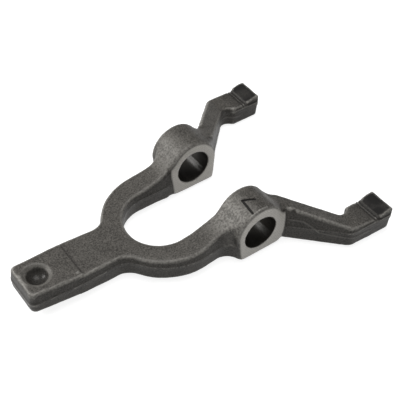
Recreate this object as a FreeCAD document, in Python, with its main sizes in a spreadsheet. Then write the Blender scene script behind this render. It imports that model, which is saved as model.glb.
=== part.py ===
import FreeCAD, Part
import Sketcher
import math
import os
import re

# Release fork of a truck clutch, one forged piece, in millimetres.
# The origin is the middle of the pivot bore axis: +X towards the finger tips,
# +Y along the bore axis, +Z up. The fork is the same on both sides of the XZ plane.

doc = FreeCAD.newDocument("ClutchFork")
sheet = doc.addObject("Spreadsheet::Sheet", "Sheet")

SIZES = [
    # pivot bosses
    ("bore_radius", 12.5, "pivot bore, first to last wall on one axis"),
    ("gap_cut", 0.65, "cut off each arm to face the boss, which opens the gap"),
    ("boss_width", 26.25, "one boss along the bore axis"),
    ("boss_wall", 6.6, "wall round the bore at the crown"),
    ("boss_offset", 1.2, "crown centre in front of the bore axis"),
    ("boss_rise", 0.6, "crown centre above the bore axis"),
    ("boss_foot_depth", 20.0, "milled foot below the bore axis"),
    ("boss_foot_back", 15.0, "foot behind the bore axis"),
    ("boss_foot_front", 18.8, "foot in front of the bore axis"),
    # lever
    ("neck_length", 28.0, "yoke's back to the step on the lever's top"),
    ("head_length", 37.0, "step to the lever's end"),
    ("lever_end_half", 15.4, "half width at the end"),
    ("lever_step_half", 17.2, "half width at the step on its top"),
    ("lever_root_half", 16.4, "half width where the yoke begins"),
    ("lever_step_fade", 18.0, "length over which the step fades out"),
    ("lever_step_rise", 0.6, "height of the step"),
    ("lever_end_top", 2.6, "top of the lever at its end"),
    ("lever_root_top", -2.1, "top of the lever at the yoke"),
    ("lever_end_bottom", -13.4, "underside at the end"),
    ("lever_root_bottom", -18.8, "underside where the lever is deepest"),
    ("lever_deep_back", 10.0, "yoke's back to the deepest place"),
    ("lever_corner", 4.5, "rounding of the end's upright corners"),
    ("lever_side_round", 40.0, "rounding of the lever's sides at the step"),
    # ball socket
    ("socket_back", 13.0, "end of the lever to the socket's centre"),
    ("socket_ball", 8.0, "radius of the ball seat"),
    ("socket_mouth", 7.0, "radius of the cup where the cone begins"),
    ("socket_rim", 9.6, "radius of the cone at the top face"),
    ("socket_cone", 1.8, "depth of the cone"),
    # yoke
    ("yoke_inner_back", 45.0, "bore axis to the centre of the inner arc"),
    ("yoke_inner_radius", 23.6, "inner arc at the seam"),
    ("yoke_outer_back", 41.0, "bore axis to the centre of the outer arc"),
    ("arm_width", 19.4, "inner arc to the outer arc"),
    ("arm_taper", 5.4, "how the arms narrow towards the bosses, degrees"),
    ("arm_bottom", -18.0, "underside of the arms"),
    ("arm_bottom_end", 30.0, "bore axis to where the underside dips to the foot"),
    ("arm_bottom_round", 60.0, "sweep of the underside"),
    ("foot_sweep", 15.0, "sweep of the underside into the foot"),
    ("foot_skin", 0.8, "forging above the milled foot's level"),
    ("top_dip", 8.0, "yoke's back to the lowest place of the top"),
    ("top_dip_round", 120.0, "sweep of the top at that place"),
    ("neck_fillet", 12.0, "rounding between lever and yoke"),
    ("rise_back", 26.7, "bore axis to the corner of the arm's rise"),
    ("rise_top", -0.1, "height of that corner"),
    ("rise_round", 60.0, "sweep of the arm's top up to the boss"),
    ("peak_back", 3.9, "corner of the forging's top inside the crown"),
    ("peak_above", 0.4, "height of that corner above the crown"),
    ("peak_round", 14.0, "rounding of that corner"),
    ("flare_back", 21.5, "bore axis to the corner of the flare at a boss"),
    ("flare_round", 9.06, "sweep of the flare"),
    ("flare_short", 1.6, "boss face to the flare's end"),
    ("flare_end_round", 3.55, "rounding of the flare's end"),
    ("flare_lap", 1.0, "flare's end behind the milled foot"),
    # fingers
    ("finger_root_x", 15.0, "inner root of a finger"),
    ("finger_root_out_x", 13.5, "outer root inside the boss"),
    ("finger_root_width", 20.3, "inner root to the outer root"),
    ("finger_root_round", 5.0, "rounding of the roots"),
    ("finger_elbow_in_x", 58.2, "inner elbow"),
    ("finger_elbow_in_y", 66.8, "inner elbow"),
    ("finger_elbow_out_x", 53.0, "outer elbow"),
    ("finger_elbow_out_y", 82.2, "outer elbow"),
    ("elbow_out_round", 9.0, "rounding of the outer elbow"),
    ("elbow_in_round", 5.2, "rounding of the inner elbow"),
    ("finger_bend_x", 55.2, "bend of a finger's top"),
    ("finger_bend_top", -3.0, "top of a finger at its bend"),
    ("finger_bend_round", 12.0, "rounding of the bend"),
    ("finger_root_bottom", -18.8, "underside behind the milled foot"),
    ("finger_bottom", -20.0, "underside of the heads"),
    # finger heads
    ("head_inner_x", 64.2, "start of the widened head"),
    ("head_inner_y", 61.0, "inner side of a head"),
    ("head_outer_y", 83.8, "outer side of a head"),
    ("head_tip_x", 89.4, "front of the heads"),
    ("head_back_round", 3.9, "rounding at the back of a head"),
    ("head_tip_round", 4.0, "rounding of a head's front corners"),
    ("head_flat_end", 72.6, "end of the flat behind the pad"),
    ("head_flat_drop", 0.08, "slope of the flat"),
    ("groove_width", 1.5, "each groove behind the pad"),
    ("groove_pitch", 2.4, "one groove to the next"),
    ("groove_depth", 1.2, "depth of the grooves"),
    ("pad_inset", 1.2, "pad inside the head's outline"),
    ("pad_back_top", -3.9, "top of the pad at its back"),
    ("pad_front_top", -1.6, "top of the pad at the front"),
    ("pad_crown", 26.0, "radius of the pad's rounded top"),
    # forging
    ("blank_up", 27.0, "forging above the seam before its profile is cut"),
    ("blank_down", 16.0, "forging below it"),
    ("overrun", 5.0, "how far a cut runs past the part"),
    ("parting_z", -7.0, "height of the seam"),
    ("draft", 4.0, "draft of the forged sides, degrees"),
    ("seam_height", 1.0, "trimmed seam where the dies met"),
    ("seam_proud", 0.4, "how far the seam stands out"),
    ("die_shift", 0.1, "how much smaller the upper die's outline is"),
    ("top_edge_round", 2.2, "rounding of the forged edges on top"),
    ("under_edge_trim", 0.9, "blunting of the forged edges below"),
]

for row, (alias, value, meaning) in enumerate(SIZES, start=1):
    sheet.set("A%d" % row, alias)
    sheet.set("B%d" % row, repr(value))
    sheet.set("C%d" % row, meaning)
    sheet.setAlias("B%d" % row, alias)
doc.recompute()

body = doc.addObject("PartDesign::Body", "ClutchFork")
body.Label = "clutch_fork"


def size(formula):
    """Value of a formula written with the names in the sheet."""
    result = sheet.evalExpression(formula)
    return float(getattr(result, "Value", result))


def linked(formula):
    """The same formula as another object writes it."""
    names = "|".join(alias for alias, _, _ in SIZES)
    return re.sub(r"\b(" + names + r")\b", r"Sheet.\1", formula)


def origin_plane(role):
    """One of the three planes through the body's origin."""
    return next(o for o in body.Origin.OriginFeatures if o.Role == role)


def new_sketch(name, role):
    """An empty sketch on one of those planes."""
    sketch = body.newObject("Sketcher::SketchObject", name)
    sketch.AttachmentSupport = [(origin_plane(role), "")]
    sketch.MapMode = "FlatFace"
    return sketch


def add_outline(sketch, corners, bows=None):
    """Close an outline through corners, each a pair of formulas.

    bows gives, for the stretch that starts at a corner, the radius formula of
    its arc and 1 or -1 for the side of the chord that the arc's centre is on.
    """
    bows = bows or {}
    places = [FreeCAD.Vector(size(x), size(y), 0) for x, y in corners]
    count = len(corners)
    stretches = []
    for i in range(count):
        start = places[i]
        end = places[(i + 1) % count]
        if i not in bows:
            stretches.append(sketch.addGeometry(Part.LineSegment(start, end), False))
            continue
        radius_formula, side = bows[i]
        radius = size(radius_formula)
        chord = end - start
        across = FreeCAD.Vector(-chord.y, chord.x, 0).normalize()
        reach = math.sqrt(radius ** 2 - (chord.Length / 2) ** 2)
        centre = (start + end) / 2 + across * reach * side
        middle = centre - across * radius * side
        first, last = (start, end) if side > 0 else (end, start)
        stretches.append(sketch.addGeometry(Part.Arc(first, middle, last), False))
    ends = []
    for i in range(count):
        edge = sketch.Geometry[stretches[i]]
        forward = (edge.StartPoint - places[i]).Length < (edge.EndPoint - places[i]).Length
        ends.append((1, 2) if forward else (2, 1))
    for i in range(count):
        following = (i + 1) % count
        sketch.addConstraint(Sketcher.Constraint(
            "Coincident", stretches[i], ends[i][1], stretches[following], ends[following][0]))
    for i in range(count):
        for kind, formula, value in (
            ("DistanceX", corners[i][0], places[i].x),
            ("DistanceY", corners[i][1], places[i].y),
        ):
            rule = sketch.addConstraint(Sketcher.Constraint(
                kind, -1, 1, stretches[i], ends[i][0], value))
            sketch.setExpression("Constraints[%d]" % rule, linked(formula))
        if i in bows:
            rule = sketch.addConstraint(Sketcher.Constraint(
                "Radius", stretches[i], size(bows[i][0])))
            sketch.setExpression("Constraints[%d]" % rule, linked(bows[i][0]))


def facing(face):
    """Upward part of a face's outward direction at its middle."""
    u0, u1, v0, v1 = face.ParameterRange
    return face.normalAt((u0 + u1) / 2, (v0 + v1) / 2).z


def round_corner(sketch, x_formula, y_formula, radius_formula):
    """Round one corner of an outline; a construction point keeps the corner's place."""
    corner = FreeCAD.Vector(size(x_formula), size(y_formula), 0)
    meeting = []
    for i, edge in enumerate(sketch.Geometry):
        if sketch.getConstruction(i):
            continue
        if min((edge.StartPoint - corner).Length, (edge.EndPoint - corner).Length) < 1e-4:
            meeting.append(i)
    first, second = meeting
    picks = []
    for i in meeting:
        edge = sketch.Geometry[i]
        first_end = (edge.StartPoint - corner).Length < 1e-4
        share = 0.1 if first_end else 0.9
        span = edge.LastParameter - edge.FirstParameter
        picks.append(edge.value(edge.FirstParameter + share * span))
    arc = sketch.GeometryCount
    radius = size(radius_formula)
    sketch.fillet(first, second, picks[0], picks[1], radius, 1, True)
    rule = sketch.addConstraint(Sketcher.Constraint("Radius", arc, radius))
    sketch.setExpression("Constraints[%d]" % rule, linked(radius_formula))
    if sketch.GeometryCount > arc + 1:
        return
    place = sketch.addGeometry(Part.Point(corner), True)
    for i in meeting:
        sketch.addConstraint(Sketcher.Constraint("PointOnObject", place, 1, i))
    for kind, formula in (("DistanceX", x_formula), ("DistanceY", y_formula)):
        rule = sketch.addConstraint(Sketcher.Constraint(kind, -1, 1, place, 1, size(formula)))
        sketch.setExpression("Constraints[%d]" % rule, linked(formula))


def pad_across(name, outline, bows, start, length, far):
    """Add a block across the fork; outline is its side view, start and length its stretch along Y."""
    side_view = new_sketch(name + "Outline", "XZ_Plane")
    side_view.setExpression("AttachmentOffset.Base.z", linked("-" + start if far else start))
    add_outline(side_view, outline, bows)
    doc.recompute()
    pad = body.newObject("PartDesign::Pad", name)
    pad.Profile = side_view
    pad.setExpression("Length", linked(length))
    pad.Reversed = far
    doc.recompute()


def cut_through(name, sketch):
    """Cut a sketch right through the part on both sides of its plane."""
    pocket = body.newObject("PartDesign::Pocket", name)
    pocket.Profile = sketch
    pocket.Type = "ThroughAll"
    pocket.SideType = "Symmetric"
    doc.recompute()
    return pocket


# Outline of the forging at its seam, one half from the lever's end to the yoke's middle
outer_radius = "(yoke_inner_radius + arm_width)"
yoke_end = "(-yoke_outer_back - " + outer_radius + ")"
step_start = "(" + yoke_end + " - neck_length)"
lever_end = "(" + step_start + " - head_length)"
outer_start = "-yoke_outer_back - sqrt(" + outer_radius + "^2 - lever_root_half^2)"
taper_start = "(-yoke_outer_back + " + outer_radius + "*sin(arm_taper*1deg))"
taper_half = "(" + outer_radius + "*cos(arm_taper*1deg))"
flare_half = "(" + taper_half + " + (flare_back + " + taper_start + ")*tan(arm_taper*1deg))"
boss_inner = "(yoke_inner_radius + gap_cut)"
boss_outer = "(" + boss_inner + " + boss_width)"
half_outline = [
    (lever_end, "lever_end_half"),
    (step_start, "lever_step_half"),
    (outer_start, "lever_root_half"),
    (taper_start, taper_half),
    ("-flare_back", flare_half),
    ("-boss_foot_back - flare_lap", boss_outer + " - flare_short"),
    ("finger_root_out_x", "yoke_inner_radius + finger_root_width"),
    ("finger_elbow_out_x", "finger_elbow_out_y"),
    ("head_tip_x", "head_outer_y"),
    ("head_tip_x", "head_inner_y"),
    ("head_inner_x", "head_inner_y"),
    ("finger_elbow_in_x", "finger_elbow_in_y"),
    ("finger_root_x", "yoke_inner_radius"),
    ("-yoke_inner_back", "yoke_inner_radius"),
    ("-yoke_inner_back - yoke_inner_radius", "0"),
]
plan_corners = half_outline + [(x, "-(" + y + ")") for x, y in reversed(half_outline[:-1])]
plan_arcs = {
    2: (outer_radius, -1),
    13: ("yoke_inner_radius", 1),
    14: ("yoke_inner_radius", 1),
    25: (outer_radius, -1),
}
plan_rounds = {
    0: "lever_corner",
    1: "lever_side_round",
    2: "neck_fillet",
    4: "flare_round",
    5: "flare_end_round",
    6: "finger_root_round",
    7: "elbow_out_round",
    8: "head_tip_round",
    9: "head_tip_round",
    10: "head_back_round",
    11: "elbow_in_round",
    12: "finger_root_round",
}

plan = new_sketch("PlanOutline", "XY_Plane")
plan.setExpression("AttachmentOffset.Base.z", linked("parting_z"))
add_outline(plan, plan_corners, plan_arcs)
for i, radius in plan_rounds.items():
    x, y = half_outline[i]
    round_corner(plan, x, y, radius)
    round_corner(plan, x, "-(" + y + ")", radius)
doc.recompute()


def forged_half(name, side, setback):
    """One half of the forging with drafted sides, set back from the plan outline at the seam."""
    blank = body.newObject("PartDesign::Pad", name + "Blank")
    blank.Profile = plan
    blank.setExpression("Length", linked("blank_up" if side > 0 else "blank_down"))
    blank.Reversed = side < 0
    neutral = body.newObject("PartDesign::Plane", name + "Neutral")
    neutral.AttachmentSupport = [(origin_plane("XY_Plane"), "")]
    neutral.MapMode = "FlatFace"
    neutral.setExpression("AttachmentOffset.Base.z", linked(
        "parting_z - (" + str(side) + ")*(" + setback + ")/tan(draft*1deg)"))
    doc.recompute()
    seam = size("parting_z")
    sides = []
    for i, face in enumerate(blank.Shape.Faces, start=1):
        away = (face.CenterOfMass.z - seam) * side
        if abs(facing(face)) < 1e-6 and away > size("seam_height"):
            sides.append("Face%d" % i)
    taper = body.newObject("PartDesign::Draft", name + "Draft")
    taper.Base = (blank, sides)
    taper.NeutralPlane = (neutral, [""])
    taper.Reversed = side < 0
    taper.setExpression("Angle", linked("draft"))
    doc.recompute()


# Top and underside of the forging, seen from the side
crown_top = "(boss_rise + bore_radius + boss_wall)"
flat_end = "(finger_bend_top - head_flat_drop*(head_tip_x + overrun - finger_bend_x))"
top_profile = [
    (lever_end + " - overrun", "lever_end_top"),
    (yoke_end + " + top_dip", "lever_root_top"),
    ("-rise_back", "rise_top"),
    ("-peak_back", crown_top + " + peak_above"),
    ("finger_bend_x", "finger_bend_top"),
    ("head_tip_x + overrun", flat_end),
    ("head_tip_x + overrun", "blank_up*2"),
    (lever_end + " - overrun", "blank_up*2"),
]
top_rounds = {1: "top_dip_round", 2: "rise_round", 3: "peak_round", 4: "finger_bend_round"}
under_profile = [
    (lever_end + " - overrun", "lever_end_bottom"),
    (yoke_end + " - lever_deep_back", "lever_root_bottom"),
    ("-yoke_inner_back - yoke_inner_radius/2", "arm_bottom"),
    ("-arm_bottom_end", "arm_bottom"),
    ("-boss_foot_back", "-boss_foot_depth + foot_skin"),
    ("boss_foot_front", "finger_root_bottom"),
    ("finger_elbow_out_x", "finger_bottom"),
    ("head_tip_x + overrun", "finger_bottom"),
    ("head_tip_x + overrun", "-blank_up*2"),
    (lever_end + " - overrun", "-blank_up*2"),
]
under_rounds = {
    1: "arm_bottom_round",
    2: "arm_bottom_round",
    3: "arm_bottom_round",
    4: "foot_sweep",
    5: "foot_sweep",
    6: "arm_bottom_round",
}
forged_half("Upper", 1, "seam_proud + die_shift")
forged_half("Lower", -1, "seam_proud")
for name, profile, rounds in (("Top", top_profile, top_rounds), ("Under", under_profile, under_rounds)):
    side_view = new_sketch(name + "Profile", "XZ_Plane")
    add_outline(side_view, profile)
    for i, radius in rounds.items():
        round_corner(side_view, profile[i][0], profile[i][1], radius)
    doc.recompute()
    cut_through(name + "Relief", side_view)


def rim_edges(shape, side):
    """Edges between the drafted sides and the top (1) or the underside (-1)."""
    names = []
    for i, edge in enumerate(shape.Edges, start=1):
        if edge.Length < 1e-3:
            continue
        middle = edge.valueAt((edge.FirstParameter + edge.LastParameter) / 2)
        if (middle.z - size("parting_z")) * side < size("seam_height")/2:
            continue
        slopes = []
        for face in shape.ancestorsOfType(edge, Part.Face):
            u, v = face.Surface.parameter(middle)
            slopes.append(abs(face.normalAt(u, v).z))
        if len(slopes) == 2 and max(slopes) > 0.5 and min(slopes) < 0.3:
            names.append("Edge%d" % i)
    return names


relieved = body.Tip
top_rims = body.newObject("PartDesign::Fillet", "TopRims")
top_rims.Base = (relieved, rim_edges(relieved.Shape, 1))
top_rims.setExpression("Radius", linked("top_edge_round"))
doc.recompute()
rounded = body.Tip
under_rims = body.newObject("PartDesign::Chamfer", "UnderRims")
under_rims.Base = (rounded, rim_edges(rounded.Shape, -1))
under_rims.setExpression("Size", linked("under_edge_trim"))
doc.recompute()

seam = body.newObject("PartDesign::Pad", "Seam")
seam.Profile = plan
seam.SideType = "Symmetric"
seam.setExpression("Length", linked("seam_height"))
doc.recompute()

# Pivot bosses: a barrel round the bore axis on a milled foot
boss_radius = "(bore_radius + boss_wall)"
boss_side = [
    ("-boss_foot_back", "-boss_foot_depth"),
    ("boss_foot_front", "-boss_foot_depth"),
    ("boss_offset + " + boss_radius, "boss_rise"),
    ("boss_offset", "boss_rise + " + boss_radius),
    ("boss_offset - " + boss_radius, "boss_rise"),
]
for name, far in (("FarBoss", True), ("NearBoss", False)):
    pad_across(name, boss_side, {2: (boss_radius, 1), 3: (boss_radius, 1)}, boss_inner, "boss_width", far)

# The milling cutter clears the arms flush with the bosses' inner faces
facing_cut = new_sketch("GapOutline", "XZ_Plane")
add_outline(facing_cut, boss_side, {2: (boss_radius, 1), 3: (boss_radius, 1)})
doc.recompute()
gap = body.newObject("PartDesign::Pocket", "BossGap")
gap.Profile = facing_cut
gap.SideType = "Symmetric"
gap.setExpression("Length", linked("2*" + boss_inner))
doc.recompute()

# Pivot bore through both bosses
bore_circle = new_sketch("BoreOutline", "XZ_Plane")
circle = bore_circle.addGeometry(
    Part.Circle(FreeCAD.Vector(0, 0, 0), FreeCAD.Vector(0, 0, 1), size("bore_radius")), False)
bore_circle.addConstraint(Sketcher.Constraint("Coincident", circle, 3, -1, 1))
bore_rule = bore_circle.addConstraint(Sketcher.Constraint("Radius", circle, size("bore_radius")))
bore_circle.setExpression("Constraints[%d]" % bore_rule, linked("bore_radius"))
doc.recompute()
cut_through("Bore", bore_circle)

# Ball socket in the lever's end: a cone that leads into a round seat
socket_x = "(" + lever_end + " + socket_back)"
top_slope = "((lever_root_top - lever_end_top)/(" + yoke_end + " + top_dip - " + lever_end + " + overrun))"


def lever_top(x):
    """Height of the lever's top at a place along it."""
    return "(lever_end_top + " + top_slope + "*(" + x + " - " + lever_end + " + overrun))"


socket_top = lever_top(socket_x)
cone_foot = "(" + socket_top + " - socket_cone)"
seat_depth = "(socket_ball - sqrt(socket_ball^2 - socket_mouth^2))"
seat = new_sketch("SocketOutline", "XZ_Plane")
add_outline(seat, [
    (socket_x, cone_foot + " - " + seat_depth),
    (socket_x + " + socket_mouth", cone_foot),
    (socket_x + " + socket_rim", socket_top),
    (socket_x + " + socket_rim", socket_top + " + overrun"),
    (socket_x, socket_top + " + overrun"),
], {0: ("socket_ball", 1)})
doc.recompute()
socket = body.newObject("PartDesign::Groove", "BallSocket")
socket.Profile = seat
socket.ReferenceAxis = (seat, ["Edge5"])
socket.Angle = 360
doc.recompute()

# Step across the lever's top, behind its head
step_end = "(" + step_start + " + lever_step_fade)"
relief = new_sketch("StemStep", "XZ_Plane")
add_outline(relief, [
    (step_start, lever_top(step_start) + " + overrun"),
    (step_start, lever_top(step_start) + " - lever_step_rise"),
    (step_end, lever_top(step_end)),
    (step_end, lever_top(step_end) + " + overrun"),
])
doc.recompute()
cut_through("LeverStep", relief)

# Pressure pads on the finger heads, with two grooves behind each
def flat_top(x):
    """Height of a finger's flat behind its pad."""
    return "(finger_bend_top - head_flat_drop*(" + x + " - finger_bend_x))"


pad_start = "(head_flat_end + 2*groove_pitch)"
pad_corners = [
    (pad_start, flat_top(pad_start) + " - overrun"),
    ("head_tip_x - pad_inset", flat_top("head_tip_x") + " - overrun"),
    ("head_tip_x - pad_inset", "pad_front_top"),
    (pad_start, "pad_back_top"),
]
for name, far in (("FarPad", True), ("NearPad", False)):
    pad_across(
        name, pad_corners, {2: ("pad_crown", 1)}, "(head_inner_y + pad_inset)",
        "head_outer_y - head_inner_y - 2*pad_inset", far)
for number in (0, 1):
    start = "(head_flat_end + " + str(number) + "*groove_pitch)"
    end = "(" + start + " + groove_width)"
    groove = new_sketch("Groove%dOutline" % (number + 1), "XZ_Plane")
    add_outline(groove, [
        (start, flat_top(start)),
        ("(" + start + " + groove_width/2)", flat_top(start) + " - groove_depth"),
        (end, flat_top(end)),
        (end, flat_top(end) + " + overrun"),
        (start, flat_top(start) + " + overrun"),
    ])
    doc.recompute()
    cut_through("Groove%d" % (number + 1), groove)

# Check every object, then write the part
for item in doc.Objects:
    if "Invalid" in item.State or "Error" in item.State or "Touched" in item.State:
        raise RuntimeError(item.Name + " failed: " + item.getStatusString())
if body.Shape.isNull() or not body.Shape.isValid() or len(body.Shape.Solids) != 1:
    raise RuntimeError("the fork is not one sound solid")
print("volume cm3 %.1f, faces %d" % (body.Shape.Volume / 1000, len(body.Shape.Faces)))
print("box", body.Shape.BoundBox)
os.makedirs("parts", exist_ok=True)
body.Shape.exportStep("parts/" + body.Label + ".step")
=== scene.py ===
import bpy
import bmesh
import numpy as np
from mathutils import Matrix, Vector, noise


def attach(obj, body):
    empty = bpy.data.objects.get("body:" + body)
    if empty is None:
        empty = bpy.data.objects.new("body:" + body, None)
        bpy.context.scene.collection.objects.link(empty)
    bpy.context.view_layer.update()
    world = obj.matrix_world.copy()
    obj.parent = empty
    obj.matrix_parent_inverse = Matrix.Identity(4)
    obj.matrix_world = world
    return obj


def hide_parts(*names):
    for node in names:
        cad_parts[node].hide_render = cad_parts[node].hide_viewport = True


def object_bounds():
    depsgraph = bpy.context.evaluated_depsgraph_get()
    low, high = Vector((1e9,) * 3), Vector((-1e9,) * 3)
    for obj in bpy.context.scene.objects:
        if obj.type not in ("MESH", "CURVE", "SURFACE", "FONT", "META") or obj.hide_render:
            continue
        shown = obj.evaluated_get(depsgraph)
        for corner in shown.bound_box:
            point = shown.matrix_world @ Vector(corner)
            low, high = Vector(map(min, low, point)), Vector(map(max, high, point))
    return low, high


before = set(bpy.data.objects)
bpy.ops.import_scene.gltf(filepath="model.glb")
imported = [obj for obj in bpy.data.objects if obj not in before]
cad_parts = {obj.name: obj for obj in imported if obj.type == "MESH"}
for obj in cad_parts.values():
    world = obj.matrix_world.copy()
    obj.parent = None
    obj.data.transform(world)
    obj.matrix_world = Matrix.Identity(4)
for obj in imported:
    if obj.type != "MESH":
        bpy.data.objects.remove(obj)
boxLow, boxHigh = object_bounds()
print("frame loaded:", ", ".join(sorted(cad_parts)))


# the forging, metres: the CAD solid's skin rebuilt with eased rims and a hammered surface
# a pair is where a soft border starts and ends; a "Turn" pair is in parts of the point's normal
forging = {
    "grid": 0.0008,                       # size of the rebuilt skin's faces
    "easeRounds": 2,                      # passes that round every sharp rim
    "easePull": 0.5,
    "lumpHeight": 0.00016,                # broad unevenness of the forged skin
    "lumpScale": 120.0,
    "dimpleHeight": 0.00007,              # and the finer one
    "dimpleScale": 430.0,
    "rimBend": (48.0, 130.0),             # how far the skin bends where it counts as a rim
    "creaseBend": (-40.0, -170.0),
    "wallTurn": (0.75, 0.45),
    "wallShade": 0.6,                     # painted shade on the side walls, full only on the lever's end
    "endShade": (-0.143, -0.146),

    "faceSides": (0.02425, 0.0505),       # the bosses' milled faces, from the middle plane
    "faceReach": (0.0012, 0.0005),
    "faceTurn": (0.62, 0.93),
    "bossTop": (-0.0181, 0.0205),         # the boss from back to front, at the axis and
    "bossFoot": (-0.0151, 0.0190),        # at the foot
    "bossBorder": (0.0006, 0.0004),
    "rimFromAxis": 0.0150,                # the rims of the faces are rounded outside this
    "rimReach": (0.0042, 0.0010),
    "rimRounds": 14,
    "seenRimRounds": 32,                  # more on the two faces that the photo shows
    "footHeight": -0.020,
    "footHalf": 0.0212,
    "footReach": (0.0005, 0.0002),
    "footTurn": (-0.7, -0.9),
    "footSlack": 0.0002,
    "boreRadius": 0.0125,
    "boreReach": (0.0009, 0.0002),
    "boreTurn": (0.8, 0.5),

    "crownHighlightBack": (-0.034, -0.020),        # painted highlight on the backs of the crowns
    "crownHighlightFront": (0.003, -0.005),
    "crownHighlightSide": (0.0190, 0.0235),
    "crownHighlightTurnBack": (0.0, -0.6),
    "crownHighlightTurnUp": (-0.1, 0.3),
    "crownHighlightFarLess": 0.3,

    "rootLow": (0.008, 0.0245, -0.004),   # where the fingers leave the bosses: x, side, z
    "rootHigh": (0.036, 0.0600, 0.019),
    "rootCrease": -70.0,                  # creases more hollow than this get a fillet
    "rootReach": (0.0075, 0.0030),
    "rootFromFace": (0.0006, 0.0030),
    "rootRounds": 110,

    "padStart": 0.0768,
    "padSoft": 0.0008,
    "padTurn": (0.1, 0.6),
    "grooves": [(0.0726, 0.0741), (0.0750, 0.0765)],
    "grooveSoft": 0.0003,
    "grooveSide": 0.0600,
    "grooveTurn": (0.0, 0.3),
    "grooveMore": 0.0004,                 # cut this much deeper than in the solid

    "stepPlace": -0.1118,                 # the step's foot across the lever
    "stepHalf": 0.0006,
    "stepTurn": (0.3, 0.7),
    "stepDepth": 0.0003,
    "paintedGlintPlace": (-0.1143, -0.0119),      # a painted glint at its end
    "paintedGlintReach": (0.0015, 0.0004),
    "paintedGlintLow": -0.005,
    "socketPlace": -0.136,
    "socketLow": -0.008,
    "seatReach": (0.0074, 0.0062),
    "coneStart": (0.0068, 0.0076),
    "coneEnd": (0.0101, 0.0093),

    "seamHeight": -0.007,
    "seamHalf": 0.0011,
    "seamFlush": (0.00018, 0.0003),       # dressed back this far, on the body and on the fingers
    "bentSeam": [(0.0185, -0.0008), (0.0252, -0.0004), (0.0298, -0.0008), (0.0339, -0.0047),
                 (0.0376, -0.0090), (0.0452, -0.0102), (0.0562, -0.0114), (0.0700, -0.0122)],
    "bentHalf": 0.0008,
    "bentProud": 0.0005,
    "bentSide": (0.0505, 0.0525),

    "crownPlace": (0.0012, 0.0006),       # the crown's middle, x and z
    "crownRadius": 0.0191,
    "strokes": [((-0.0388, 0.0020), (-0.0346, -0.0056)),    # the chisel's mark on the near crown:
                ((-0.0353, -0.0056), (-0.0470, -0.0068))],  # distance along Y, distance round it
    "strokeHalf": 0.00125,
    "strokeDepth": 0.0011,
    "patchCuts": 2,                       # finer faces for the mark
    "patchLow": (-0.010, -0.0490, 0.012),
    "patchHigh": (0.006, -0.0325, 0.021),
}


def ease(values, low, high):
    # 0 at low, 1 at high, smooth between; low may be the larger one
    part = np.clip((values - low) / (high - low), 0.0, 1.0)
    return part * part * (3.0 - 2.0 * part)


def strokeGap(u, v, start, end):
    # distance of the points (u, v) from one straight stroke
    stepU, stepV = end[0] - start[0], end[1] - start[1]
    along = ((u - start[0]) * stepU + (v - start[1]) * stepV) / (stepU ** 2 + stepV ** 2)
    along = np.clip(along, 0.0, 1.0)
    return np.hypot(u - start[0] - along * stepU, v - start[1] - along * stepV)


def rebuildSkin():
    # a merged copy of the solid's mesh, rebuilt with even faces
    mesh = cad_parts["clutch_fork"].data.copy()
    build = bmesh.new()
    build.from_mesh(mesh)
    bmesh.ops.remove_doubles(build, verts=build.verts, dist=1e-6)
    build.to_mesh(mesh)
    build.free()
    fork = bpy.data.objects.new("forgedFork", mesh)
    bpy.context.scene.collection.objects.link(fork)
    remesh = fork.modifiers.new("skin", "REMESH")
    remesh.mode = "VOXEL"
    remesh.voxel_size = forging["grid"]
    view = bpy.context.evaluated_depsgraph_get()
    rebuilt = bpy.data.meshes.new_from_object(fork.evaluated_get(view))
    fork.modifiers.clear()
    fork.data = rebuilt
    rebuilt.materials.clear()

    build = bmesh.new()
    build.from_mesh(rebuilt)
    for i in range(forging["easeRounds"]):
        bmesh.ops.smooth_vert(build, verts=build.verts, factor=forging["easePull"],
                              use_axis_x=True, use_axis_y=True, use_axis_z=True)
    low, high = forging["patchLow"], forging["patchHigh"]
    inPatch = {v for v in build.verts if all(low[i] < v.co[i] < high[i] for i in range(3))}
    finer = [e for e in build.edges if e.verts[0] in inPatch and e.verts[1] in inPatch]
    bmesh.ops.subdivide_edges(build, edges=finer, cuts=forging["patchCuts"], use_grid_fill=True)
    bmesh.ops.recalc_face_normals(build, faces=build.faces)
    build.to_mesh(rebuilt)
    build.free()
    rebuilt.shade_smooth()
    print("skin rebuilt:", len(rebuilt.vertices), "points")
    return fork


def readPoints(mesh):
    count = len(mesh.vertices)
    points = np.empty(count * 3, np.float32)
    normals = np.empty(count * 3, np.float32)
    mesh.vertices.foreach_get("co", points)
    mesh.vertex_normals.foreach_get("vector", normals)
    return points.reshape(-1, 3).astype(float), normals.reshape(-1, 3).astype(float)


def writePoints(mesh, points):
    mesh.vertices.foreach_set("co", points.astype(np.float32).ravel())
    mesh.update()


def readEdges(mesh):
    pairs = np.empty(len(mesh.edges) * 2, np.int32)
    mesh.edges.foreach_get("vertices", pairs)
    return pairs.reshape(-1, 2).T


def sumAtEnds(one, other, atOne, atOther, count):
    # add up what each edge gives to its two points
    return np.bincount(one, atOne, count) + np.bincount(other, atOther, count)


def bendOf(mesh, points, normals, rounds=3):
    # how much the skin bends at each point: above 0 on rims, below 0 in creases
    one, other = readEdges(mesh)
    reach = points[other] - points[one]
    span = np.maximum(np.linalg.norm(reach, axis=1), 1e-7)
    edges = np.maximum(sumAtEnds(one, other, None, None, len(points)), 1)
    here = -(normals[one] * reach).sum(1) / span ** 2
    there = (normals[other] * reach).sum(1) / span ** 2
    bend = sumAtEnds(one, other, here, there, len(points)) / edges
    for i in range(rounds):
        near = sumAtEnds(one, other, bend[other], bend[one], len(points))
        bend = 0.5 * bend + 0.5 * near / edges
    return bend


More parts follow.
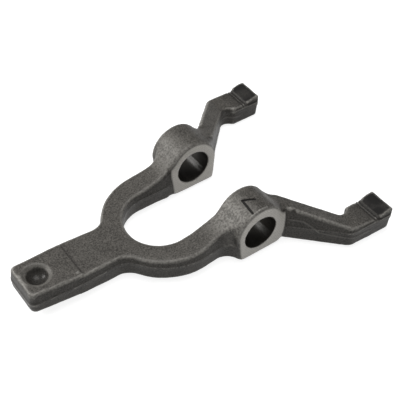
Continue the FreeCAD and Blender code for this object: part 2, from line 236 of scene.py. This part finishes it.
def relax(mesh, points, weight, rounds):
    # pull each point halfway to its neighbours' middle, as far as its weight lets it
    one, other = readEdges(mesh)
    keep = (weight[one] > 0) | (weight[other] > 0)
    one, other = one[keep], other[keep]
    edges = np.maximum(sumAtEnds(one, other, None, None, len(points)), 1)
    for i in range(rounds):
        for axis in range(3):
            here = points[:, axis]
            near = sumAtEnds(one, other, here[other], here[one], len(points))
            points[:, axis] = here + 0.5 * weight * (near / edges - here)


def nearFace(side):
    # distance from the nearer of a boss's two milled faces
    inner, outer = forging["faceSides"]
    return np.minimum(np.abs(side - inner), np.abs(side - outer))


def blendForms(fork):
    mesh = fork.data
    points, normals = readPoints(mesh)
    bend = bendOf(mesh, points, normals)
    x, y, z = points.T
    side = np.abs(y)

    # round the rims of the boss faces
    weight = ease(nearFace(side), *forging["rimReach"])
    weight *= (np.hypot(x, z) > forging["rimFromAxis"]) & (np.abs(x) < forging["footHalf"])
    relax(mesh, points, weight, forging["rimRounds"])
    seen = (y > 0.0) ^ (side > 0.5 * sum(forging["faceSides"]))
    relax(mesh, points, weight * seen, forging["seenRimRounds"])

    # widen the creases between the crowns and the fingers into fillets
    low, high = forging["rootLow"], forging["rootHigh"]
    inRoot = np.ones(len(points), bool)
    for values, start, end in zip((x, side, z), low, high):
        inRoot &= (values > start) & (values < end)
    crease = points[inRoot & (bend < forging["rootCrease"])]
    weight = np.zeros(len(points))
    for i in np.nonzero(inRoot)[0]:
        weight[i] = np.sqrt(((crease - points[i]) ** 2).sum(1).min())
    weight[inRoot] = ease(weight[inRoot], *forging["rootReach"])
    weight *= ease(np.abs(side - forging["faceSides"][1]), *forging["rootFromFace"])
    relax(mesh, points, weight, forging["rootRounds"])
    writePoints(mesh, points)
    print("rims and finger roots eased")


def bossMasks(points, normals):
    # milled faces, milled feet and bore walls
    x, y, z = points.T
    side = np.abs(y)
    milled = ease(nearFace(side), *forging["faceReach"])
    milled *= ease(np.abs(normals[:, 1]), *forging["faceTurn"])
    down = np.clip(z / forging["footHeight"], 0.0, 1.0)
    (topBack, topFront), (footBack, footFront) = forging["bossTop"], forging["bossFoot"]
    back = topBack + (footBack - topBack) * down
    front = topFront + (footFront - topFront) * down
    outside, inside = forging["bossBorder"]
    milled *= ease(x, back - outside, back + inside)
    milled *= ease(x, front + outside, front - inside)

    foot = ease(z - forging["footHeight"], *forging["footReach"])
    foot *= ease(normals[:, 2], *forging["footTurn"])
    foot *= np.abs(x) < forging["footHalf"]
    foot *= side > forging["faceSides"][0] - forging["footSlack"]
    foot *= side < forging["faceSides"][1] + forging["footSlack"]

    bore = ease(np.hypot(x, z) - forging["boreRadius"], *forging["boreReach"])
    bore *= ease(np.abs(normals[:, 1]), *forging["boreTurn"])
    return milled, foot, bore


def crownHighlightMask(points, normals):
    # painted highlight on the backs of the crowns and the flares below them, less on the far side
    x, y, z = points.T
    paintedCrownHighlight = ease(x, *forging["crownHighlightBack"]) * ease(x, *forging["crownHighlightFront"])
    paintedCrownHighlight *= ease(normals[:, 0], *forging["crownHighlightTurnBack"])
    paintedCrownHighlight *= ease(normals[:, 2], *forging["crownHighlightTurnUp"])
    paintedCrownHighlight *= ease(np.abs(y), *forging["crownHighlightSide"])
    return paintedCrownHighlight * (1.0 - forging["crownHighlightFarLess"] * (y > 0.0))


def headMasks(points, normals):
    # pads on the finger heads, and the two grooves across each head
    x, y, z = points.T
    pad = ease(x, forging["padStart"], forging["padStart"] + forging["padSoft"])
    pad *= ease(normals[:, 2], *forging["padTurn"])
    soft = forging["grooveSoft"]
    groove = sum(ease(x, start - soft, start + soft) * ease(x, end + soft, end - soft)
                 for start, end in forging["grooves"])
    groove *= (np.abs(y) > forging["grooveSide"]) * ease(normals[:, 2], *forging["grooveTurn"])
    return pad, groove


def leverMasks(points, normals):
    # the step's foot across the lever, the socket's seat and the cone round it
    x, y, z = points.T
    step = ease(np.abs(x - forging["stepPlace"]), forging["stepHalf"], 0.0)
    step *= ease(normals[:, 2], *forging["stepTurn"])
    fromSocket = np.hypot(x - forging["socketPlace"], y)
    onTop = z > forging["socketLow"]
    seat = ease(fromSocket, *forging["seatReach"]) * onTop
    cone = ease(fromSocket, *forging["coneStart"]) * ease(fromSocket, *forging["coneEnd"]) * onTop
    return step, seat, cone


def seamMasks(points, wall):
    # the straight seam as a depth to dress it back by, and the bent one on the fingers
    x, y, z = points.T
    onFinger = ease(np.abs(y), *forging["bentSide"])
    onBody, onFingers = forging["seamFlush"]
    straight = ease(np.abs(z - forging["seamHeight"]), forging["seamHalf"], 0.0) * wall
    straight *= onBody + (onFingers - onBody) * onFinger
    line = forging["bentSeam"]
    gap = np.minimum.reduce([strokeGap(x, z, *ends) for ends in zip(line, line[1:])])
    return straight, ease(gap, forging["bentHalf"], 0.0) * wall * onFinger


def furrowMask(points):
    # the chisel's furrow, drawn on the unrolled crown
    x, y, z = points.T
    crownX, crownZ = forging["crownPlace"]
    arc = np.arctan2(x - crownX, z - crownZ) * forging["crownRadius"]
    gap = np.minimum.reduce([strokeGap(y, arc, *ends) for ends in forging["strokes"]])
    furrow = ease(gap, forging["strokeHalf"], 0.0)
    return furrow * (z > forging["patchLow"][2]) * (y < 0)


def finishSkin(fork):
    mesh = fork.data
    points, normals = readPoints(mesh)
    x, y, z = points.T
    milled, foot, bore = bossMasks(points, normals)
    pad, groove = headMasks(points, normals)
    step, seat, cone = leverMasks(points, normals)
    furrow = furrowMask(points)
    wall = ease(np.abs(normals[:, 2]), *forging["wallTurn"])
    straight, bent = seamMasks(points, wall)
    bend = bendOf(mesh, points, normals)
    # a painted glint at the step's end, added to the rims
    paintedGlint = np.hypot(x - forging["paintedGlintPlace"][0], y - forging["paintedGlintPlace"][1])
    paintedGlint = ease(paintedGlint, *forging["paintedGlintReach"]) * (z > forging["paintedGlintLow"])
    shade = forging["wallShade"] + (1.0 - forging["wallShade"]) * ease(x, *forging["endShade"])
    masks = {
        "milled": np.clip(milled + foot, 0.0, 1.0),
        "bore": bore,
        "rim": np.maximum(ease(bend, *forging["rimBend"]), paintedGlint),
        "crease": ease(bend, *forging["creaseBend"]),
        "pad": pad,
        # painted highlight on the crowns' backs
        "paintedCrownHighlight": crownHighlightMask(points, normals),
        "furrow": furrow,
        "seam": bent,
        "groove": np.maximum(groove, step),
        "seat": seat,
        "cone": cone,
        # painted shade on the steep walls, strongest at the lever's end
        "wall": wall * shade,
    }

    # unevenness of what no tool has cut, then the seams, the furrow, the grooves and the step
    lumps = np.array([noise.noise(Vector(p) * forging["lumpScale"]) for p in points])
    dimples = np.array([noise.noise(Vector(p) * forging["dimpleScale"]) for p in points])
    shift = lumps * forging["lumpHeight"] + dimples * forging["dimpleHeight"]
    shift *= 1.0 - np.clip(milled + foot + bore, 0.0, 1.0)
    shift += forging["bentProud"] * bent - straight - forging["strokeDepth"] * furrow
    shift -= forging["grooveMore"] * groove + forging["stepDepth"] * step
    writePoints(mesh, points + normals * shift[:, None])
    for name, values in masks.items():
        layer = mesh.attributes.new(name, "FLOAT", "POINT")
        layer.data.foreach_set("value", np.asarray(values, np.float32))
    print("skin finished:", len(mesh.polygons), "faces")


fork = rebuildSkin()
blendForms(fork)
finishSkin(fork)
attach(fork, "root")
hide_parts("clutch_fork")
print("forging ready")


def addNode(tree, kind, **values):
    node = tree.nodes.new(kind)
    for name, value in values.items():
        setattr(node, name, value)
    return node


def feed(tree, socket, value):
    # a plain value is set on the socket, anything else is linked to it
    if isinstance(value, (int, float, tuple)):
        socket.default_value = value
    else:
        tree.links.new(value, socket)


def addMath(tree, operation, *values):
    node = addNode(tree, "ShaderNodeMath", operation=operation)
    for i, value in enumerate(values):
        feed(tree, node.inputs[i], value)
    return node.outputs[0]


def addSum(tree, rest, *parts):
    # rest plus each socket times its weight
    for socket, weight in parts:
        rest = addMath(tree, "MULTIPLY_ADD", socket, weight, rest)
    return rest


def addRamp(tree, source, low, high):
    node = addNode(tree, "ShaderNodeMapRange", interpolation_type="SMOOTHSTEP")
    feed(tree, node.inputs["Value"], source)
    feed(tree, node.inputs["From Min"], low)
    feed(tree, node.inputs["From Max"], high)
    return node.outputs["Result"]


def addNoise(tree, vector, scale, detail, roughness):
    node = addNode(tree, "ShaderNodeTexNoise")
    feed(tree, node.inputs["Scale"], scale)
    feed(tree, node.inputs["Detail"], detail)
    feed(tree, node.inputs["Roughness"], roughness)
    feed(tree, node.inputs["Vector"], vector)
    return node.outputs["Fac"]


def addMix(tree, factor, first, second):
    node = addNode(tree, "ShaderNodeMix", data_type="RGBA")
    feed(tree, node.inputs[0], factor)
    feed(tree, node.inputs[6], first)
    feed(tree, node.inputs[7], second)
    return node.outputs[2]


def addBlend(tree, factor, first, second):
    # the same for plain numbers
    node = addNode(tree, "ShaderNodeMix", data_type="FLOAT")
    feed(tree, node.inputs[0], factor)
    feed(tree, node.inputs[2], first)
    feed(tree, node.inputs[3], second)
    return node.outputs[0]


def addCoat(tree, colour, mask, strength, paint):
    # paint over the colour where the mask is, as strongly as asked
    return addMix(tree, addMath(tree, "MULTIPLY", mask, strength), colour, paint)


def readMask(tree, name):
    return addNode(tree, "ShaderNodeAttribute", attribute_name=name).outputs["Fac"]


# forged steel with its scale blasted off, what the tools and wear left on it, and painted
# highlights and shade
# a "Noise" is scale, detail, roughness; a "Spread" is where a ramp starts and ends
steel = {
    "dark": (0.026, 0.024, 0.021, 1),
    "light": (0.118, 0.110, 0.099, 1),
    # worn bare metal, also painted highlight on the rims and the socket's cone
    "wearAndHighlight": (0.27, 0.26, 0.24, 1),
    # colour of the painted highlight on the crowns' backs
    "paintedCrownHighlight": (0.25, 0.24, 0.22, 1),
    # scorched dark, also used as painted shade on walls, creases, grooves and the seat
    "scorchAndShade": (0.010, 0.0095, 0.009, 1),
    "milled": (0.56, 0.54, 0.50),
    # painted shade on the bore walls
    "bore": (0.030, 0.028, 0.024, 1),
    "grainNoise": (1500.0, 2.0, 0.55),
    "pitNoise": (950.0, 3.0, 0.6),
    "blotchNoise": (90.0, 3.0, 0.55),
    "mottleNoise": (720.0, 3.0, 0.6),
    "mottleSpread": (0.36, 0.64),
    "skinMix": (0.15, 0.55, 0.3),         # blotches, pits, grain
    "skinSpread": (0.34, 0.68),
    "paintedWallShade": 0.4,
    "headSpread": (0.058, 0.072),         # the finger heads darken towards their tips, along X
    "headDark": 0.3,
    "padRubSpread": (0.5, 0.68),
    "padRub": 0.3,
    # strength of the painted shade in creases, grooves and the step
    "paintedHollowShade": 0.7,
    "patchMix": (0.2, 0.55),              # even part, mottled part
    "rimMix": (0.4, 0.45),
    "seamBare": 0.4,
    # scuffs and painted highlight on the socket's cone
    "coneScuffAndHighlight": 0.22,
    # painted shade in the socket's seat
    "paintedSeatShade": 0.6,
    "furrowSpread": (0.1, 0.6),
    "furrowDark": 0.95,
    "cutScale": 260.0,                    # the milling cutter's faint arcs
    "cutWaver": 1.5,
    "cutDetail": 1.0,
    "cutCentre": (0.09, 0.0, 0.07),
    "cutMix": (0.6, 0.6, 0.10),           # even part, pits, arcs
    "roughness": 0.46,
    "roughnessVaries": 0.2,
    "milledRoughness": 0.42,
    "rubbedRoughness": 0.3,
    "padRoughness": 0.7,
    "metallic": 0.15,
    "specular": 0.18,
    "reliefMix": (0.3, 0.7),              # grain, pits
    "cutReliefMix": (0.1, 0.05),          # grain, arcs
    "bumpStrength": 0.5,
    "bumpDepth": 0.0003,
}


def makeForgedSteel():
    material = bpy.data.materials.new("forgedSteel")
    material.use_nodes = True
    tree = material.node_tree
    shader = tree.nodes["Principled BSDF"]
    place = addNode(tree, "ShaderNodeTexCoord").outputs["Object"]
    grain = addNoise(tree, place, *steel["grainNoise"])
    pits = addNoise(tree, place, *steel["pitNoise"])
    blotch = addNoise(tree, place, *steel["blotchNoise"])
    mottle = addRamp(tree, addNoise(tree, place, *steel["mottleNoise"]), *steel["mottleSpread"])
    wearAndHighlight, scorchAndShade = steel["wearAndHighlight"], steel["scorchAndShade"]

    # bare skin, with painted shade on the steep walls
    tone = addSum(tree, 0.0, *zip((blotch, pits, grain), steel["skinMix"]))
    colour = addMix(tree, addRamp(tree, tone, *steel["skinSpread"]), steel["dark"], steel["light"])
    colour = addCoat(tree, colour, readMask(tree, "wall"), steel["paintedWallShade"], scorchAndShade)

    # painted highlight on the crowns' backs, mottled
    even, mottled = steel["patchMix"]
    patch = addSum(tree, even, (mottle, mottled))
    colour = addCoat(tree, colour, readMask(tree, "paintedCrownHighlight"), patch, steel["paintedCrownHighlight"])

    # dark finger heads, and pads that are darker still where nothing rubbed them
    axes = addNode(tree, "ShaderNodeSeparateXYZ")
    feed(tree, axes.inputs[0], place)
    head = addRamp(tree, axes.outputs[0], *steel["headSpread"])
    colour = addCoat(tree, colour, head, steel["headDark"], scorchAndShade)
    pad = readMask(tree, "pad")
    rubbed = addRamp(tree, blotch, *steel["padRubSpread"])
    colour = addCoat(tree, colour, pad, addSum(tree, 1.0, (rubbed, -steel["padRub"])), scorchAndShade)

    # painted shade in creases and grooves; worn metal with painted highlight on rims, and bare
    # metal on the bent seam
    paintedHollowShade = addMath(tree, "MAXIMUM", readMask(tree, "crease"), readMask(tree, "groove"))
    colour = addCoat(tree, colour, paintedHollowShade, steel["paintedHollowShade"], scorchAndShade)
    # the rims: wear and painted highlight
    even, mottled = steel["rimMix"]
    rimWearAndHighlight = addSum(tree, even, (mottle, mottled))
    colour = addCoat(tree, colour, readMask(tree, "rim"), rimWearAndHighlight, wearAndHighlight)
    colour = addCoat(tree, colour, readMask(tree, "seam"), steel["seamBare"], wearAndHighlight)

    # the socket: a scuffed cone with painted highlight round a seat darkened with painted shade
    seat = readMask(tree, "seat")
    colour = addCoat(tree, colour, readMask(tree, "cone"), steel["coneScuffAndHighlight"], wearAndHighlight)
    colour = addCoat(tree, colour, seat, steel["paintedSeatShade"], scorchAndShade)

    # milled faces and feet, with the cutter's faint arcs
    milled = readMask(tree, "milled")
    shifted = addNode(tree, "ShaderNodeVectorMath", operation="ADD")
    feed(tree, shifted.inputs[0], place)
    feed(tree, shifted.inputs[1], steel["cutCentre"])
    arcs = addNode(tree, "ShaderNodeTexWave", wave_type="RINGS", rings_direction="SPHERICAL")
    feed(tree, arcs.inputs["Scale"], steel["cutScale"])
    feed(tree, arcs.inputs["Distortion"], steel["cutWaver"])
    feed(tree, arcs.inputs["Detail"], steel["cutDetail"])
    feed(tree, arcs.inputs["Vector"], shifted.outputs[0])
    arcs = arcs.outputs["Fac"]
    even, pitted, ringed = steel["cutMix"]
    cutColour = addNode(tree, "ShaderNodeVectorMath", operation="SCALE")
    feed(tree, cutColour.inputs[0], steel["milled"])
    feed(tree, cutColour.inputs["Scale"], addSum(tree, even, (pits, pitted), (arcs, ringed)))
    colour = addMix(tree, milled, colour, cutColour.outputs[0])

    # bore walls darkened with painted shade, and the chisel's furrow
    bore = readMask(tree, "bore")
    colour = addMix(tree, bore, colour, steel["bore"])
    furrow = addRamp(tree, readMask(tree, "furrow"), *steel["furrowSpread"])
    colour = addCoat(tree, colour, furrow, steel["furrowDark"], scorchAndShade)
    feed(tree, shader.inputs["Base Color"], colour)

    varies = steel["roughnessVaries"]
    rough = addSum(tree, steel["roughness"] - 0.5 * varies, (pits, varies))
    rough = addBlend(tree, milled, rough, steel["milledRoughness"])
    rubbed = addMath(tree, "MAXIMUM", seat, bore)
    rough = addBlend(tree, rubbed, rough, steel["rubbedRoughness"])
    rough = addBlend(tree, pad, rough, steel["padRoughness"])
    feed(tree, shader.inputs["Roughness"], rough)
    feed(tree, shader.inputs["Metallic"], steel["metallic"])
    feed(tree, shader.inputs["Specular IOR Level"], steel["specular"])

    # relief too fine for the mesh
    relief = addSum(tree, 0.0, *zip((grain, pits), steel["reliefMix"]))
    cutRelief = addSum(tree, 0.0, *zip((grain, arcs), steel["cutReliefMix"]))
    bump = addNode(tree, "ShaderNodeBump")
    feed(tree, bump.inputs["Strength"], steel["bumpStrength"])
    feed(tree, bump.inputs["Distance"], steel["bumpDepth"])
    machined = addMath(tree, "MAXIMUM", milled, bore)
    feed(tree, bump.inputs["Height"], addBlend(tree, machined, relief, cutRelief))
    feed(tree, shader.inputs["Normal"], bump.outputs["Normal"])
    return material


fork.data.materials.append(makeForgedSteel())
print("forged steel ready")


# a pale floor that glows only to the eye, an even sky and two lamps
studio = {
    "floorGap": 0.0003,                   # below the feet
    "floorHalf": 3.0,
    "floorColour": (0.42, 0.42, 0.42, 1),
    "floorRoughness": 1.0,
    "floorGlow": 0.84,
    "white": (1, 1, 1, 1),
    "airStrength": 0.34,
    "lamps": [
        ("backLamp", (-0.70, 0.65, 0.50), 0.4, 6.0),     # name, place, size, power
        ("topLamp", (0.05, 0.15, 1.0), 0.7, 7.0),
    ],
}


def makeFloor():
    mesh = bpy.data.meshes.new("floor")
    build = bmesh.new()
    spot = Matrix.Translation((0, 0, boxLow[2] - studio["floorGap"]))
    half = studio["floorHalf"]
    bmesh.ops.create_grid(build, x_segments=1, y_segments=1, size=half, matrix=spot)
    build.to_mesh(mesh)
    build.free()
    floor = bpy.data.objects.new("floor", mesh)
    bpy.context.scene.collection.objects.link(floor)
    material = bpy.data.materials.new("paleFloor")
    material.use_nodes = True
    tree = material.node_tree
    shader = tree.nodes["Principled BSDF"]
    feed(tree, shader.inputs["Base Color"], studio["floorColour"])
    feed(tree, shader.inputs["Roughness"], studio["floorRoughness"])
    feed(tree, shader.inputs["Specular IOR Level"], 0.0)
    rays = addNode(tree, "ShaderNodeLightPath").outputs
    seen = addMath(tree, "MAXIMUM", rays["Is Camera Ray"], rays["Is Glossy Ray"])
    seen = addMath(tree, "MAXIMUM", seen, rays["Is Transmission Ray"])
    glow = addNode(tree, "ShaderNodeEmission")
    feed(tree, glow.inputs["Color"], studio["white"])
    feed(tree, glow.inputs["Strength"], addMath(tree, "MULTIPLY", seen, studio["floorGlow"]))
    both = addNode(tree, "ShaderNodeAddShader")
    feed(tree, both.inputs[0], shader.outputs[0])
    feed(tree, both.inputs[1], glow.outputs[0])
    feed(tree, tree.nodes["Material Output"].inputs["Surface"], both.outputs[0])
    mesh.materials.append(material)


def makeWorld():
    # white to the eye, dimmer as light on the fork
    world = bpy.data.worlds.new("studioAir")
    bpy.context.scene.world = world
    world.use_nodes = True
    tree = world.node_tree
    air = tree.nodes["Background"]
    feed(tree, air.inputs["Color"], studio["white"])
    rays = addNode(tree, "ShaderNodeLightPath").outputs
    seen = addMath(tree, "MAXIMUM", rays["Is Camera Ray"], rays["Is Transmission Ray"])
    level = addSum(tree, studio["airStrength"], (seen, 1.0 - studio["airStrength"]))
    feed(tree, air.inputs["Strength"], level)


def makeLamp(name, place, size, power):
    lamp = bpy.data.lights.new(name, "AREA")
    lamp.shape = "DISK"
    lamp.size = size
    lamp.energy = power
    holder = bpy.data.objects.new(name, lamp)
    holder.location = place
    holder.rotation_euler = (-Vector(place)).to_track_quat("-Z", "Y").to_euler()
    bpy.context.scene.collection.objects.link(holder)


makeFloor()
makeWorld()
for lampValues in studio["lamps"]:
    makeLamp(*lampValues)
bpy.context.scene.view_settings.view_transform = "Standard"
print("studio ready")


# camera at the photograph's angle
camera = {
    "place": (-0.27222, -0.34342, 0.43204),
    "right": (0.8098, -0.5863, 0.0215),
    "ahead": (0.424, 0.5595, -0.7121),
    "focalPixels": 906.0,
    "imagePixels": 400.0,
    "sensor": 36.0,
    "nearest": 0.01,
    "farthest": 20.0,
}


def makeCamera():
    lens = bpy.data.cameras.new("photoCamera")
    lens.sensor_width = camera["sensor"]
    lens.lens = camera["focalPixels"] / camera["imagePixels"] * camera["sensor"]
    lens.clip_start = camera["nearest"]
    lens.clip_end = camera["farthest"]
    holder = bpy.data.objects.new("photoCamera", lens)
    bpy.context.scene.collection.objects.link(holder)
    ahead = Vector(camera["ahead"]).normalized()
    right = Vector(camera["right"])
    right = (right - ahead * right.dot(ahead)).normalized()
    up = right.cross(ahead)
    turn = Matrix((right, up, -ahead)).transposed().to_4x4()
    holder.matrix_world = Matrix.Translation(Vector(camera["place"])) @ turn
    bpy.context.scene.camera = holder


makeCamera()
print("camera ready")
